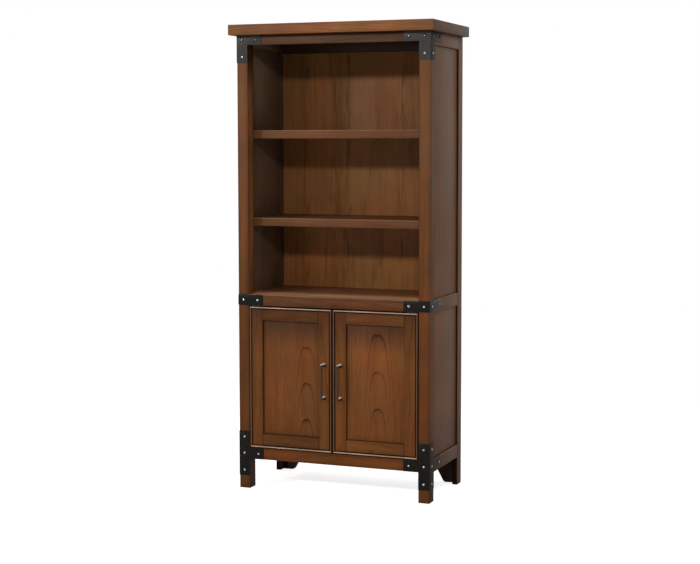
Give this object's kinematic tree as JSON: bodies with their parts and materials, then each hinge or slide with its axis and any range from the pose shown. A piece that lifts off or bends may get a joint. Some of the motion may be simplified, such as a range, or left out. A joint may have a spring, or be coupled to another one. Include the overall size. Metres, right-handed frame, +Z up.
{
  "type": "bookcase with cabinet doors",
  "caption": "Tall stained-wood bookcase with open shelves above a cabinet with beaded inset doors, bar pulls, steel corner brackets with domed rivets and bracket feet behind.",
  "frame": {"origin": "on the floor, under the middle of the top slab", "axes": "+X to the right seen from the front, +Y from the doors to the back, +Z up"},
  "size_m": [0.914, 0.482, 1.981],
  "materials": {
    "top_wood": "satin brown stain, warm, straight grain",
    "frame_wood": "satin brown stain on posts and rails",
    "side_wood": "satin greyish brown stain",
    "shelf_wood": "satin brown stain",
    "back_wood": "matt brown stained veneer",
    "door_wood": "satin reddish brown stain, cathedral grain",
    "bracket_steel": "aged black, rivet heads worn bright",
    "pull_bar_bronze": "dark bronze",
    "pull_post_pewter": "antique pewter",
    "hinge_brass": "plain brass"
  },
  "bodies": {
    "case": {"back_panel_lower": "back_wood", "back_panel_upper": "back_wood", "bottom_corner_bracket_left": "bracket_steel", "bottom_corner_bracket_right": "bracket_steel", "cabinet_deck": "shelf_wood", "cabinet_floor": "shelf_wood", "cabinet_shelf": "shelf_wood", "door_stop": "shelf_wood", "front_bottom_rail": "frame_wood", "front_middle_rail": "frame_wood", "front_post_left": "frame_wood", "front_post_right": "frame_wood", "front_top_rail": "frame_wood", "hinge_lower_case_leaf_left": "hinge_brass", "hinge_lower_case_leaf_right": "hinge_brass", "hinge_upper_case_leaf_left": "hinge_brass", "hinge_upper_case_leaf_right": "hinge_brass", "middle_corner_strap_left": "bracket_steel", "middle_corner_strap_right": "bracket_steel", "rear_bottom_rail": "back_wood", "rear_foot_bracket_left": "back_wood", "rear_foot_bracket_right": "back_wood", "rear_stile_left": "side_wood", "rear_stile_right": "side_wood", "rear_top_rail": "back_wood", "shelf_lower": "shelf_wood", "shelf_upper": "shelf_wood", "side_bottom_rail_left": "side_wood", "side_bottom_rail_right": "side_wood", "side_middle_rail_left": "side_wood", "side_middle_rail_right": "side_wood", "side_panel_lower_left": "side_wood", "side_panel_lower_right": "side_wood", "side_panel_upper_left": "side_wood", "side_panel_upper_right": "side_wood", "side_top_rail_left": "side_wood", "side_top_rail_right": "side_wood", "top_corner_bracket_left": "bracket_steel", "top_corner_bracket_right": "bracket_steel", "top_slab": "top_wood"},
    "door_left": {"door_bottom_rail_left": "door_wood", "door_hinge_stile_left": "door_wood", "door_meeting_stile_left": "door_wood", "door_panel_left": "door_wood", "door_top_rail_left": "door_wood", "hinge_lower_door_leaf_left": "hinge_brass", "hinge_upper_door_leaf_left": "hinge_brass", "pull_bar_left": "pull_bar_bronze", "pull_lower_post_left": "pull_post_pewter", "pull_upper_post_left": "pull_post_pewter"},
    "door_right": {"door_bottom_rail_right": "door_wood", "door_hinge_stile_right": "door_wood", "door_meeting_stile_right": "door_wood", "door_panel_right": "door_wood", "door_top_rail_right": "door_wood", "hinge_lower_door_leaf_right": "hinge_brass", "hinge_upper_door_leaf_right": "hinge_brass", "pull_bar_right": "pull_bar_bronze", "pull_lower_post_right": "pull_post_pewter", "pull_upper_post_right": "pull_post_pewter"}
  },
  "joints": [
    {"name": "door_left_hinge", "type": "hinge", "parent": "case", "child": "door_left", "pos_m": [-0.37, -0.195, 0.485], "axis": [0, 0, -1], "range_deg": [0, 100]},
    {"name": "door_right_hinge", "type": "hinge", "parent": "case", "child": "door_right", "pos_m": [0.37, -0.195, 0.485], "axis": [0, 0, 1], "range_deg": [0, 100]}
  ]
}
